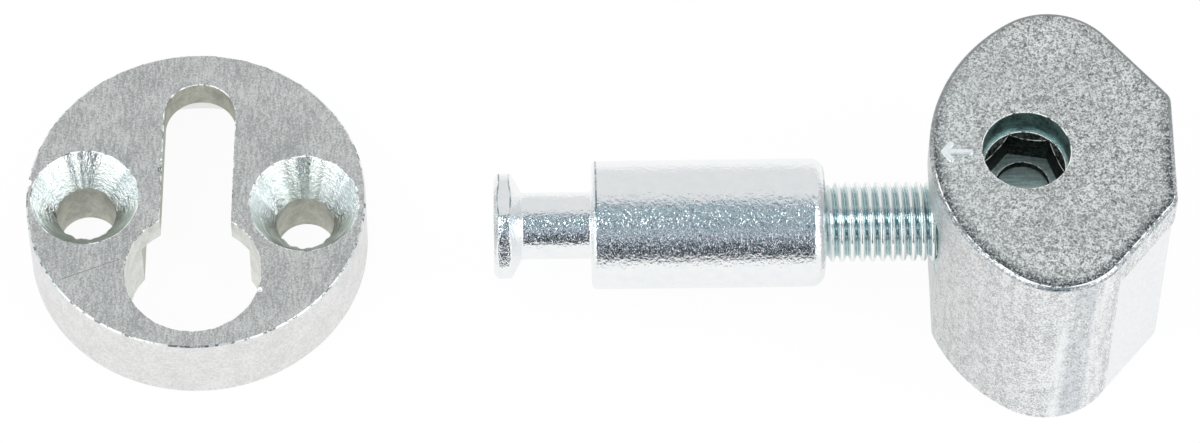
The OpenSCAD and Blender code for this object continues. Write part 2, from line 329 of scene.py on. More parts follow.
def two_tone(tree, place, grain, clouds, tones, dark, light, roughness, relief):
    """A skin from dark to light, as its tone goes through tones.

    The grain is (scale, detail, roughness), the clouds are (scale, share) or None, and the
    relief is the grain's (depth in mm, strength) or None.
    """
    fine = tone = grains(tree, place, *grain)
    if clouds:
        scale, share = clouds
        tone = weighted(tree, (fine, 1 - share), (grains(tree, place, scale, 2, 0.5), share))
    colour = blend(tree, spread(tree, tone, *tones), dark, light)
    looks = {"Base Color": colour, "Roughness": roughness}
    return {**looks, "Normal": bump(tree, fine, *relief)} if relief else looks


def metal(build):
    """The material named like build, a metal but for what build(tree, place) says otherwise."""
    made = bpy.data.materials.new(build.__name__)
    made.use_nodes = True
    tree = made.node_tree
    shader = tree.nodes["Principled BSDF"]
    place = node(tree, "ShaderNodeTexCoord").outputs["Object"]
    for socket, value in {"Metallic": 1.0, **build(tree, place)}.items():
        if isinstance(value, bpy.types.NodeSocket):
            tree.links.new(value, shader.inputs[socket])
        else:
            shader.inputs[socket].default_value = value
    return made


@metal
def cast_top(tree, place):
    """Grainy cast top, which rounds off a little towards its edge."""
    grain = grains(tree, place, 7.0, 2, 0.7)
    lumps = grains(tree, place, 2.2, 2, 0.6)
    specks = grains(tree, place, 4.5, 1, 0.5)
    cloud = grains(tree, place, 0.25, 2, 0.5)
    tone = weighted(tree, (grain, 0.72), (lumps, 0.28))
    colour = blend(tree, spread(tree, tone, 0.42, 0.57), (0.30, 0.315, 0.31), (0.90, 0.93, 0.92))
    colour = blend(tree, spread(tree, cloud, 0.35, 0.65, 0.0, 0.22), colour, (0.36, 0.36, 0.35))
    colour = blend(tree, spread(tree, specks, 0.38, 0.31), colour, (0.20, 0.21, 0.21))
    # Paler towards the bolt, and specked with black along the edge; the specks are partly painted
    # shade, strongest in front where the edge reflects the dark room
    spot = axes(tree, place)
    paler = spread(tree, spot["X"], 0.0, -8 * MM, 0.0, 0.25)
    colour = blend(tree, paler, colour, (0.70, 0.76, 0.78))
    inside = node(tree, "ShaderNodeAttribute", attribute_name="edge").outputs["Fac"]
    specks_and_painted_shade = times(tree, spread(tree, inside, 0.9, 0.15), spread(tree, grain, 0.62, 0.47, 0.3))
    specks_and_painted_shade = times(tree, specks_and_painted_shade, spread(tree, spot["Y"], 6 * MM, -1 * MM, 0.3))
    colour = blend(tree, specks_and_painted_shade, colour, (0.07, 0.08, 0.09))
    border = spread(tree, inside, 1.0, 0.0)
    rounding = bump(tree, math_node(tree, "SUBTRACT", 1.0, times(tree, border, border)), 0.1)
    return {
        "Base Color": colour,
        "Roughness": spread(tree, grain, 0.3, 0.7, 0.28, 0.44),
        "Normal": bump(tree, grain, 0.022, 1.0, bump(tree, lumps, 0.06, 0.7, rounding)),
    }


@metal
def cast_rim(tree, place):
    """Burnished rounded edge of the cap, darker at the back."""
    grain = grains(tree, place, 5.0, 2, 0.6)
    colour = blend(tree, spread(tree, grain, 0.42, 0.62), (0.30, 0.32, 0.33), (0.70, 0.72, 0.73))
    back = spread(tree, axes(tree, place)["Y"], -2 * MM, 4 * MM, 0.0, 0.75)
    return {
        "Base Color": blend(tree, back, colour, (0.26, 0.28, 0.28)),
        "Roughness": spread(tree, grain, 0.3, 0.7, 0.3, 0.22),
        "Normal": bump(tree, grain, 0.012, 0.8),
    }


@metal
def cast_side(tree, place):
    """Paler cast side: fine grain, faint upright streaks, a few upright pale and bluish bands, and
    painted shade towards the nose.
    """
    grain = grains(tree, place, 7.0, 2, 0.7)
    lumps = grains(tree, place, 1.6, 2, 0.6)
    streak = grains(tree, place, 1.6, 2, 0.6, (1, 1, 0.1))
    tint = grains(tree, place, 2.6, 1, 0.5)
    tone = weighted(tree, (streak, 0.12), (lumps, 0.22), (grain, 0.66))
    dark = blend(tree, spread(tree, tint, 0.4, 0.6), (0.45, 0.42, 0.45), (0.40, 0.45, 0.45))
    colour = blend(tree, spread(tree, tone, 0.42, 0.55), dark, (0.94, 0.96, 0.96))
    across = axes(tree, place)["X"]
    # Painted shade: darker towards the nose, where the bolt and its shadow darken what the side
    # reflects
    painted_shade_left = spread(tree, across, 3 * MM, -6 * MM, 0.0, 0.34)
    colour = blend(tree, painted_shade_left, colour, (0.47, 0.47, 0.46))
    across = math_node(tree, "ADD", across, times(tree, streak, 0.6 * MM))
    ragged = spread(tree, streak, 0.4, 0.6, 0.3, 1.0)
    fade = 0.5
    for low, high, share, shade in (
        (3.4, 4.7, 0.38, (0.40, 0.44, 0.50)),
        (2.6, 2.9, 0.6, (0.93, 0.95, 0.96)),
        (5.4, 5.8, 0.6, (0.93, 0.94, 0.95)),
    ):
        rise = spread(tree, across, (low - fade) * MM, low * MM, 0.0, share)
        fall = spread(tree, across, (high + fade) * MM, high * MM)
        colour = blend(tree, times(tree, times(tree, rise, fall), ragged), colour, shade)
    return {
        "Base Color": colour,
        "Roughness": spread(tree, grain, 0.3, 0.7, 0.32, 0.46),
        "Normal": bump(tree, grain, 0.02, 0.9, bump(tree, streak, 0.015, 0.5)),
    }


@metal
def cast_flank_painted_highlight(tree, place):
    """Smooth flank, almost white: a painted highlight of the light that the flat flank reflects."""
    return two_tone(tree, place, (3.0, 2, 0.5), None, (0.3, 0.7),
                    (0.86, 0.87, 0.88), (0.93, 0.94, 0.95), 0.42, (0.01, 0.5))


@metal
def cast_mark(tree, place):
    """Pale, smoother skin of the raised arrow."""
    return two_tone(tree, place, (5.0, 2, 0.6), None, (0.35, 0.55),
                    (0.84, 0.89, 0.90), (0.97, 1.0, 1.0), 0.34, (0.015, 0.8))


@metal
def worn_edge_and_highlight(tree, place):
    """Edges that are dark and smooth in places, and in others rubbed to a dull white that is also a
    painted highlight.
    """
    rubbed_and_highlit = spread(tree, grains(tree, place, 1.7, 3, 0.7), 0.42, 0.50)
    return {
        "Base Color": blend(tree, rubbed_and_highlit, (0.34, 0.36, 0.35), (0.95, 0.955, 0.94)),
        "Metallic": spread(tree, rubbed_and_highlit, 0.0, 1.0, 1.0, 0.25),
        "Roughness": spread(tree, rubbed_and_highlit, 0.0, 1.0, 0.22, 0.4),
    }


@metal
def plate_rim(tree, place):
    """The plate's outer edge: a pale line, broken by small dark nicks."""
    nicks = spread(tree, grains(tree, place, 1.6, 3, 0.7), 0.49, 0.42)
    return {
        "Base Color": blend(tree, nicks, (0.86, 0.87, 0.86), (0.22, 0.23, 0.23)),
        "Roughness": 0.34,
    }


@metal
def bore_wall_painted_shade(tree, place):
    """Teal wall of the drive hole, darkened as painted shade of the hole."""
    return two_tone(tree, place, (4.5, 2, 0.6), (0.8, 0.55), (0.4, 0.62),
                    (0.08, 0.14, 0.135), (0.29, 0.47, 0.45), 0.5, (0.015, 0.8))


@metal
def plate_face(tree, place):
    """Satin face with fine brushed lines along Y, small flecks and one scratch."""
    lines = grains(tree, place, 6.5, 2, 0.65, (1, 0.22, 1))
    grain = grains(tree, place, 7.0, 2, 0.7)
    cloud = grains(tree, place, 0.4, 2, 0.5)
    tone = weighted(tree, (grain, 0.5), (cloud, 0.15), (lines, 0.35))
    colour = blend(tree, spread(tree, tone, 0.42, 0.58), (0.39, 0.395, 0.395), (0.71, 0.72, 0.705))
    flecks = grains(tree, place, 4.5, 2, 0.7, (1, 0.5, 1))
    colour = blend(tree, spread(tree, flecks, 0.68, 0.74), colour, (0.80, 0.81, 0.80))
    scratched = scratch(tree, place, (-70.65, -2.6), (-66.35, -0.95), 0.035)
    return {
        "Base Color": blend(tree, scratched, colour, (0.26, 0.26, 0.27)),
        "Roughness": spread(tree, grain, 0.3, 0.7, 0.34, 0.46),
        "Normal": bump(tree, lines, 0.006, 0.8, bump(tree, grain, 0.008, 0.8)),
    }


@metal
def plate_side(tree, place):
    """Pale turned side of the plate."""
    return two_tone(tree, place, (4.5, 2, 0.6), (0.8, 0.3), (0.38, 0.62),
                    (0.69, 0.695, 0.68), (0.85, 0.855, 0.85), 0.42, (0.008, 0.7))


@metal
def plate_wall(tree, place):
    """Dull olive-grey walls inside the keyhole and the screw holes."""
    return two_tone(tree, place, (4.5, 2, 0.6), (0.9, 0.6), (0.38, 0.62),
                    (0.38, 0.39, 0.34), (0.56, 0.57, 0.50), 0.46, (0.01, 0.7))


@metal
def pocket_wall_painted_light(tree, place):
    """Wall at the end of the pocket, near white: painted light on a wall that sits in shade."""
    return two_tone(tree, place, (2.0, 2, 0.5), None, (0.3, 0.7),
                    (0.96, 0.96, 0.955), (0.99, 0.99, 0.985), 0.3, None)


@metal
def entry_wall_painted_light(tree, place):
    """Grey walls of the round hole, a paler copy of plate_wall: painted light, as the open hole is
    more lit.
    """
    return two_tone(tree, place, (4.5, 2, 0.6), (0.9, 0.5), (0.38, 0.62),
                    (0.68, 0.69, 0.65), (0.86, 0.87, 0.84), 0.4, (0.01, 0.7))


@metal
def turned_sink(tree, place):
    """Shiny turned countersink with fine rings, duller in its front half, and darker there with
    olive painted shade where the near wall reflects the dark hole and room.
    """
    rings = grains(tree, place, 7.0, 2, 0.6, (0.03, 0.03, 1))
    grain = grains(tree, place, 4.2, 2, 0.65)
    cloud = grains(tree, place, 1.5, 2, 0.6)
    tone = weighted(tree, (rings, 0.6), (cloud, 0.4))
    colour = blend(tree, spread(tree, tone, 0.4, 0.6), (0.86, 0.89, 0.87), (0.97, 0.98, 0.97))
    # How far behind its own countersink's middle a place is
    spot = axes(tree, place)
    middle = spread(tree, spot["X"], -62 * MM, -60 * MM, 4.4 * MM, 3.65 * MM)
    behind = math_node(tree, "SUBTRACT", spot["Y"], middle)
    front = spread(tree, behind, 0.2 * MM, -1.4 * MM)
    # Painted shade along the rings of the front half, deepest towards the near edge
    painted_shade_rings = times(tree, front, spread(tree, rings, 0.58, 0.46, 0.12, 0.72))
    colour = blend(tree, painted_shade_rings, colour, (0.40, 0.49, 0.41))
    painted_shade_rings = times(tree, spread(tree, behind, -2.0 * MM, -3.2 * MM),
                  spread(tree, rings, 0.58, 0.45, 0.3, 0.9))
    shine = spread(tree, cloud, 0.35, 0.65, 0.07, 0.14)
    return {
        "Base Color": blend(tree, painted_shade_rings, colour, (0.14, 0.20, 0.15)),
        "Roughness": math_node(tree, "ADD", shine, times(tree, front, 0.3)),
        "Normal": bump(tree, rings, 0.02, 0.9, bump(tree, grain, 0.06, 1.0)),
    }


def plating(tree, place):
    """Bright zinc plating with an uneven, sparkling skin."""
    fine = grains(tree, place, 3.4, 2, 0.65)
    dents = grains(tree, place, 1.6, 2, 0.6)
    cloud = grains(tree, place, 1.0, 2, 0.6)
    pale = spread(tree, cloud, 0.35, 0.65)
    return {
        "Base Color": blend(tree, pale, (0.845, 0.87, 0.885), (0.885, 0.895, 0.90)),
        "Roughness": spread(tree, cloud, 0.35, 0.65, 0.03, 0.07),
        "Normal": bump(tree, fine, 0.056, 1.0, bump(tree, dents, 0.03, 0.8)),
    }


@metal
def bolt_zinc(tree, place):
    """Plating as it is on most of the bolt."""
    return plating(tree, place)


@metal
def bolt_painted_dark_line(tree, place):
    """Plating with a broken painted dark line, standing for the dark that edges of the bolt's upper
    and back half reflect.
    """
    looks = plating(tree, place)
    spot = axes(tree, place)
    height = math_node(tree, "ADD", spot["Z"], spot["Y"])
    above = spread(tree, height, (AXIS_H - 0.6) * MM, (AXIS_H + 0.6) * MM)
    broken = spread(tree, grains(tree, place, 1.3, 2, 0.6), 0.38, 0.58, 0.25, 1.0)
    colour = blend(tree, times(tree, above, broken), looks["Base Color"], (0.27, 0.34, 0.36))
    return {**looks, "Base Color": colour}


@metal
def thread_zinc(tree, place):
    """The bolt's thread, with a teal tint, a painted highlight on its crests and painted shade in
    its grooves.
    """
    grain = grains(tree, place, 4.5, 2, 0.6)
    tone = spread(tree, grain, 0.3, 0.7)
    colour = blend(tree, tone, (0.66, 0.745, 0.745), (0.82, 0.875, 0.875))
    spot = axes(tree, place)
    rise = math_node(tree, "SUBTRACT", spot["Z"], AXIS_H * MM)
    away = node(tree, "ShaderNodeCombineXYZ", {"X": spot["Y"], "Y": rise}).outputs[0]
    away = node(tree, "ShaderNodeVectorMath", {0: away}, operation="LENGTH").outputs["Value"]
    crest_highlight = spread(tree, away, (THREAD_R - 0.06) * MM, (THREAD_R - 0.01) * MM)
    colour = blend(tree, crest_highlight, colour, (0.93, 0.94, 0.93))
    groove_shade = spread(tree, away, (THREAD_R - 0.30) * MM, (THREAD_R - THREAD_DEPTH) * MM)
    return {
        "Base Color": blend(tree, groove_shade, colour, (0.50, 0.62, 0.64)),
        "Roughness": 0.15,
        "Normal": bump(tree, grain, 0.012, 0.7),
    }


@metal
def gear_zinc(tree, place):
    """Dull teal-grey steel of the gears."""
    grain = grains(tree, place, 4.5, 2, 0.6)
    streak = grains(tree, place, 4.5, 2, 0.6, (0.1, 1, 1))
    tone = weighted(tree, (grain, 0.35), (streak, 0.65))
    return {
        "Base Color": blend(
            tree, spread(tree, tone, 0.38, 0.62), (0.48, 0.63, 0.61), (0.86, 0.97, 0.94)
        ),
        "Roughness": spread(tree, grain, 0.3, 0.7, 0.36, 0.5),
        "Normal": bump(tree, streak, 0.01, 0.6, bump(tree, grain, 0.008, 0.6)),
    }


@metal
def socket_wall_painted_shade(tree, place):
    """Nearly black walls of the hexagon socket: painted shade of the deep socket."""
    looks = two_tone(tree, place, (4.0, 2, 0.6), None, (0.4, 0.65),
                     (0.01, 0.012, 0.011), (0.07, 0.078, 0.072), 0.5, (0.015, 0.7))
    return {**looks, "Specular Tint": (0.5, 0.5, 0.49, 1.0)}


@metal
def socket_ledge_painted_shade(tree, place):
    """Teal-grey ledge at the bottom of the hexagon socket, darkened as painted shade of the socket.
    """
    return two_tone(tree, place, (4.5, 2, 0.6), None, (0.35, 0.65),
                    (0.10, 0.13, 0.14), (0.31, 0.37, 0.38), 0.45, (0.01, 0.7))


# ---- housing


NOSE_X = NOSE_R - NOSE_REACH
SIDE_ANGLE = math.degrees(math.asin((HOUSING_W / 2 - SIDE_R) / (NOSE_R - SIDE_R)))
SIDE_C = (
    NOSE_X - (NOSE_R - SIDE_R) * math.cos(math.radians(SIDE_ANGLE)),
    HOUSING_W / 2 - SIDE_R,
)
REAR_C = (REAR_REACH - REAR_R, REAR_W / 2 - REAR_R)
FLANK_RUN = math.dist(SIDE_C, REAR_C)
FLANK_ANGLE = math.degrees(
    math.atan2(REAR_C[1] - SIDE_C[1], REAR_C[0] - SIDE_C[0])
    - math.asin((SIDE_R - REAR_R) / FLANK_RUN)
)
FLANK_DIR = (math.cos(math.radians(FLANK_ANGLE)), math.sin(math.radians(FLANK_ANGLE)))


def housing_outline(grow, set_in=0.0, step=0.3):
    """Plan of the housing as a closed line, counter-clockwise from the middle of the rear face."""
    square = FLANK_ANGLE + 90
    side_end = square - math.degrees(math.acos(1 - set_in / (SIDE_R + grow)))
    rear_start = square + math.degrees(math.acos(1 - set_in / (REAR_R + grow)))
    half = (
        arc(REAR_C, REAR_R + grow, 0, rear_start, step)
        + arc(SIDE_C, SIDE_R + grow, side_end, 180 - SIDE_ANGLE, step)
        + arc((NOSE_X, 0), NOSE_R + grow, 180 - SIDE_ANGLE, 180, step)[1:]
    )
    return half + [(x, -y) for x, y in reversed(half[:-1])]


def tip_point(cone, pitch_r):
    """Radius and height of a bevel gear's outer tip, over the point where the cones meet."""
    height = pitch_r / math.tan(cone) - ADDENDUM * math.sin(cone)
    return (pitch_r + ADDENDUM * math.cos(cone), height)


def root_point(cone, pitch_r):
    """The same for the outer end of a tooth's root."""
    height = pitch_r / math.tan(cone) + DEDENDUM * math.sin(cone)
    return (pitch_r - DEDENDUM * math.cos(cone), height)


DRIVE_PITCH_R = NUT_PITCH_R * DRIVE_TEETH / NUT_TEETH
CONE_L = math.hypot(NUT_PITCH_R, DRIVE_PITCH_R)
DRIVE_CONE = math.atan(DRIVE_TEETH / NUT_TEETH)
NUT_CONE = math.pi / 2 - DRIVE_CONE
INNER_SHARE = (CONE_L - TOOTH_FACE) / CONE_L
FOOT_Z = THREAD_R + 0.5
JOURNAL_X = FLAT_REACH - RUN
PEG_SPOTS = [
    (SIDE_C[0] + PEG_INSET / 2, SIDE_C[1] + PEG_INSET / 2),
    (SIDE_C[0] + PEG_INSET / 2, -SIDE_C[1] - PEG_INSET / 2),
    (REAR_REACH - PEG_INSET, 0),
]


def axis_room(name, start, end, r):
    """A U-shaped room round the bolt's axis, open to the top."""
    outline = arc((0, AXIS_H), r, 180, 360, 0.6) + [(r, HOUSING_H + PAST), (-r, HOUSING_H + PAST)]
    return skin(name, [[(x, y, z) for y, z in outline] for x in (start, end)])


def axis_tube(name, r, start, end, count=64):
    """A round rod along the bolt's axis."""
    place = Matrix.Translation((0, 0, AXIS_H)) @ ALONG_X
    return move(lathe(name, [(r, start), (r, end)], count), place)


def pegs(r, low, high):
    """Round pegs at the places of the cap's three pegs."""
    return [
        prism("peg", [(x, y) for x, y, z in circle(r, 0, 32, *spot)], low, high)
        for spot in PEG_SPOTS
    ]


def make_body():
    rim = housing_outline(BODY_PROUD, FLANK_STEP)
    body = skin("Housing_Body", [[(x, y, z) for x, y in rim] for z in (0.0, CAP_Z)])
    wall_x = -FLAT_REACH + FRONT_WALL
    tip, root = tip_point(NUT_CONE, NUT_PITCH_R), root_point(NUT_CONE, NUT_PITCH_R)
    back_x = wall_x + JOURNAL_X - NUT_INNER_X + TIP_GAP
    disc_room_r, end_room = DISC_R + RUN, 0.3
    cut(
        body,
        block("pad", (-FLAT_REACH - NOSE_R, -NOSE_R, -PAST),
              (-FLAT_REACH, NOSE_R, AXIS_H + FLAT_RISE)),
        axis_tube("journal", JOURNAL_R + RUN, -FLAT_REACH - PAST, wall_x + PAST, 96),
        axis_tube("tunnel", THREAD_R + 2 * RUN, wall_x, BOLT_END_X + SLIDE_IN + end_room),
        axis_room("room", wall_x, back_x, root[0] + 2 * TIP_GAP),
        axis_room("teeth_room", -root[1] - TIP_GAP, back_x, tip[0] + TIP_GAP),
        lathe("drive_room", [(disc_room_r, AXIS_H + FOOT_Z - FACE_GAP), (disc_room_r, HOUSING_H)]),
        *pegs(PEG_R + FACE_GAP, CAP_Z - PEG_L - 2 * TIP_GAP, HOUSING_H),
    )

    near = 0.35  # the points of the rim's arcs are closer together than this

    def outside(middle):
        """On the pad's face, or by the outer edge of the seam or the foot."""
        by_rim = min(math.dist(middle[:2], p) for p in rim) < near
        return middle.x < -FLAT_REACH + 0.01 or by_rim

    round_edges(body, BODY_EDGE, outside, 40)

    def pick(face):
        c, n = face.center, face.normal
        if abs(n.z) > 0.5:
            return cast_side
        along = (c.x - SIDE_C[0]) * FLANK_DIR[0] + (abs(c.y) - SIDE_C[1]) * FLANK_DIR[1]
        on_flank = along > 0.9 and n.x > 0.3 and abs(n.y) > 0.2
        return cast_flank_painted_highlight if on_flank else cast_side

    finish_piece(body, "housing", ["gear_housing"], [cast_side, cast_flank_painted_highlight], pick)


def make_cap():
    cap = skin("Housing_Cap", cap_rings())
    combine(cap, "UNION", *pegs(PEG_R, CAP_Z - PEG_L, CAP_Z + 0.5))
    cut(
        cap,
        lathe("key_hole", [(KEY_HOLE_R, CAP_Z - PAST), (KEY_HOLE_R, HOUSING_H + PAST)], 128),
        lathe("hub_hole", [(HUB_R + RUN, CAP_Z - PAST), (HUB_R + RUN, RIM_Z + FACE_GAP)], 128),
    )

    def mouth(middle):
        near = math.hypot(middle.x, middle.y) < KEY_HOLE_R + 0.05
        return near and middle.z > HOUSING_H - 0.05

    # The hole's mouth is rounded and marked rubbed, with a painted highlight
    round_edges(cap, MOUTH_EDGE, mouth, 40, mark=WORN_AND_HIGHLIT)
    # How far a place on the top is from the outline, up to 1 mm, for its material
    edge = cap.data.attributes.new("edge", "FLOAT", "POINT")
    rim = housing_outline(0.0)
    for i, vertex in enumerate(cap.data.vertices):
        away = min(math.dist(vertex.co[:2], p) for p in rim)
        edge.data[i].value = min(1.0, away) if vertex.co.z > HOUSING_H - 0.01 else 0.0

    def pick(face):
        c, n = face.center, face.normal
        if math.hypot(c.x, c.y) < KEY_HOLE_R + 0.02 and abs(n.z) < 0.5:
            return bore_wall_painted_shade
        if c.z > HOUSING_H - TOP_ROUND and n.z < 0.999:
            # The front band of the rounded top edge is painted as a highlight line
            return worn_edge_and_highlight if n.z > 0.95 and c.y < -1.5 else cast_rim
        return cast_top if n.z > 0.3 else cast_side

    looks = [cast_top, cast_side, bore_wall_painted_shade, cast_rim]
    finish_piece(cap, "housing", ["housing_cap"], looks, pick)


def cap_rings():
    """The cap's rings, from its seam over the rounded edge and on to its flat top."""
    plan = []
    for centre, r, start, end in (
        (REAR_C, REAR_R, 0, FLANK_ANGLE + 90),
        (SIDE_C, SIDE_R, FLANK_ANGLE + 90, 180 - SIDE_ANGLE),
        ((NOSE_X, 0), NOSE_R, 180 - SIDE_ANGLE, 180),
    ):
        count = max(4, math.ceil(math.radians(end - start) * (r + TOP_ROUND) / 0.3))
        first = 0 if centre != (NOSE_X, 0) else 1
        plan += [(centre, r, start + (end - start) * i / count) for i in range(first, count + 1)]

    def line(grow):
        half = []
        for c, r, a in plan:
            x, y = math.cos(math.radians(a)), math.sin(math.radians(a))
            half.append((c[0] + (r + grow) * x, c[1] + (r + grow) * y))
        return half + [(x, -y) for x, y in reversed(half[:-1])]

    rings = [[(x, y, CAP_Z) for x, y in line(TOP_ROUND)]]
    for turn in quarter(5):
        rise = HOUSING_H - TOP_ROUND + TOP_ROUND * math.sin(turn)
        rings.append([(x, y, rise) for x, y in line(TOP_ROUND * math.cos(turn))])
    for inset in (0.1, 0.25, 0.45, 0.7, 0.95):
        rings.append([(x, y, HOUSING_H) for x, y in line(-inset)])
    return rings


# ---- gears


def involute(angle):
    return math.tan(angle) - angle


def tooth_side(pitch, count):
    """One flank of a tooth from root to tip, as (depth below the pitch line, half width)."""
    steps = 5
    low = pitch - DEDENDUM - RUN
    base = pitch * math.cos(math.radians(PRESSURE))
    at_pitch = math.pi / 2 / count - PLAY / pitch + involute(math.radians(PRESSURE))
    points = []
    for i in range(steps + 1):
        r = low + (ADDENDUM + DEDENDUM + RUN) * i / steps
        half = at_pitch - involute(math.acos(min(1, base / r)))
        points.append((pitch - r * math.cos(half), r * math.sin(half)))
    return points


def bevel_teeth(name, teeth, cone, pitch_r, phase):
    """Straight bevel teeth round +Z, tapering to the point where the cones meet."""
    side = tooth_side(pitch_r / math.cos(cone), teeth / math.cos(cone))
    outline = side + [(x, -y) for x, y in reversed(side)]
    verts, faces = [], []
    n = len(outline)
    for i in range(teeth):
        place = (
            Matrix.Rotation((i + phase) * 2 * math.pi / teeth, 4, "Z")
            @ Matrix.Translation((CONE_L * math.sin(cone), 0, CONE_L * math.cos(cone)))
            @ Matrix.Rotation(math.pi + cone, 4, "Y")
        )
        start = len(verts)
        for share, z in ((1, 0), (INNER_SHARE, TOOTH_FACE)):
            verts += [tuple(place @ Vector((x * share, y * share, z))) for x, y in outline]
        near, far = range(start, start + n), range(start + n, start + 2 * n)
        faces += [tuple(reversed(near)), tuple(far)]
        faces += [
            (near[k], near[(k + 1) % n], far[(k + 1) % n], far[k]) for k in range(n)
        ]
    made = mesh_object(name, verts, faces)
    bm = bmesh.new()
    bm.from_mesh(made.data)
    bmesh.ops.recalc_face_normals(bm, faces=bm.faces)
    bm.to_mesh(made.data)
    bm.free()
    return made


def make_drive_gear():
    root = root_point(DRIVE_CONE, DRIVE_PITCH_R)
    disc_z = CAP_Z - FACE_GAP - AXIS_H
    hub_z = RIM_Z - AXIS_H
    socket_r = SOCKET_AF / 2 / math.cos(math.radians(30))
    socket_z = HOUSING_H - SOCKET_DEPTH - AXIS_H
    gear = lathe(
        "Drive_Gear",
        [(FOOT_R, FOOT_Z), (root[0] * INNER_SHARE, root[1] * INNER_SHARE), root,
         (DISC_R, root[1] + TIP_GAP), (DISC_R, disc_z), (HUB_R, disc_z), (HUB_R, hub_z)],
        120,
    )
    combine(gear, "UNION", bevel_teeth("teeth", DRIVE_TEETH, DRIVE_CONE, DRIVE_PITCH_R, 0))
    hexagon = skin("hexagon", [circle(socket_r, z, 6) for z in (socket_z, HOUSING_H)])
    move(hexagon, Matrix.Rotation(math.radians(SOCKET_TURN), 4, "Z"))
    cut(
        gear,
        hexagon,
        lathe("mouth", [(SOCKET_AF / 2, hub_z - MOUTH_DEPTH), (socket_r + RUN, hub_z),
                        (socket_r + RUN, hub_z + PAST)], 120),
        lathe("pilot", [(PILOT_R, socket_z - PILOT_DEPTH), (PILOT_R, socket_z + PAST)], 120),
    )
    move(gear, Matrix.Translation((0, 0, AXIS_H)))

    ledge_z = HOUSING_H - SOCKET_DEPTH
    around_r = 3.05  # more than the socket's and its mouth's, and less than the hub's

    def by_ledge(c, inner, outer):
        return abs(c.z - ledge_z) < 0.1 and inner < math.hypot(c.x, c.y) < outer

    def visible(middle):
        return math.hypot(middle.x, middle.y) < around_r and middle.z > ledge_z - 0.05

    round_edges(gear, GEAR_EDGE, visible, 30, mark=WORN_AND_HIGHLIT)
    # Only the socket's mouth and the pilot hole's edge are rubbed, and they keep their painted
    # highlight
    for face in gear.data.polygons:
        low = face.center.z < RIM_Z - MOUTH_DEPTH
        if face.material_index == WORN_AND_HIGHLIT and low and not by_ledge(face.center, 0, PILOT_R + 0.12):
            face.material_index = 0

    def pick(face):
        c, n = face.center, face.normal
        if abs(n.z) > 0.9:
            return socket_ledge_painted_shade if by_ledge(c, PILOT_R, around_r) else gear_zinc
        return socket_wall_painted_shade if math.hypot(c.x, c.y) < around_r else gear_zinc

    looks = [gear_zinc, socket_wall_painted_shade, socket_ledge_painted_shade]
    finish_piece(gear, "drive", ["drive_gear"], looks, pick)


def make_nut_gear():
    root = root_point(NUT_CONE, NUT_PITCH_R)
    rim_r = root[0] + TIP_GAP
    face_x = FLAT_REACH - FRONT_WALL - FACE_GAP
    gear = lathe(
        "Nut_Gear",
        [(NUT_INNER_R, NUT_INNER_X), (root[0] * INNER_SHARE, root[1] * INNER_SHARE), root,
         (rim_r, root[1] + TIP_GAP), (rim_r, face_x), (JOURNAL_R, face_x),
         (JOURNAL_R, JOURNAL_X - 0.12), (JOURNAL_R - 0.12, JOURNAL_X)],
        120,
    )
    combine(gear, "UNION", bevel_teeth("teeth", NUT_TEETH, NUT_CONE, NUT_PITCH_R, 0.5))
    bore, mouth = THREAD_R + RUN, THREAD_R + RUN + 0.27
    cut(
        gear,
        lathe("bore", [(bore, NUT_INNER_X - PAST), (bore, JOURNAL_X - 0.25),
                       (mouth, JOURNAL_X + 0.02), (mouth, JOURNAL_X + PAST)], 120),
    )
    move(gear, Matrix.Translation((0, 0, AXIS_H)) @ Matrix.Rotation(-math.pi / 2, 4, "Y"))
    finish_piece(gear, "nut", ["nut_gear"], [gear_zinc])


# ---- bolt


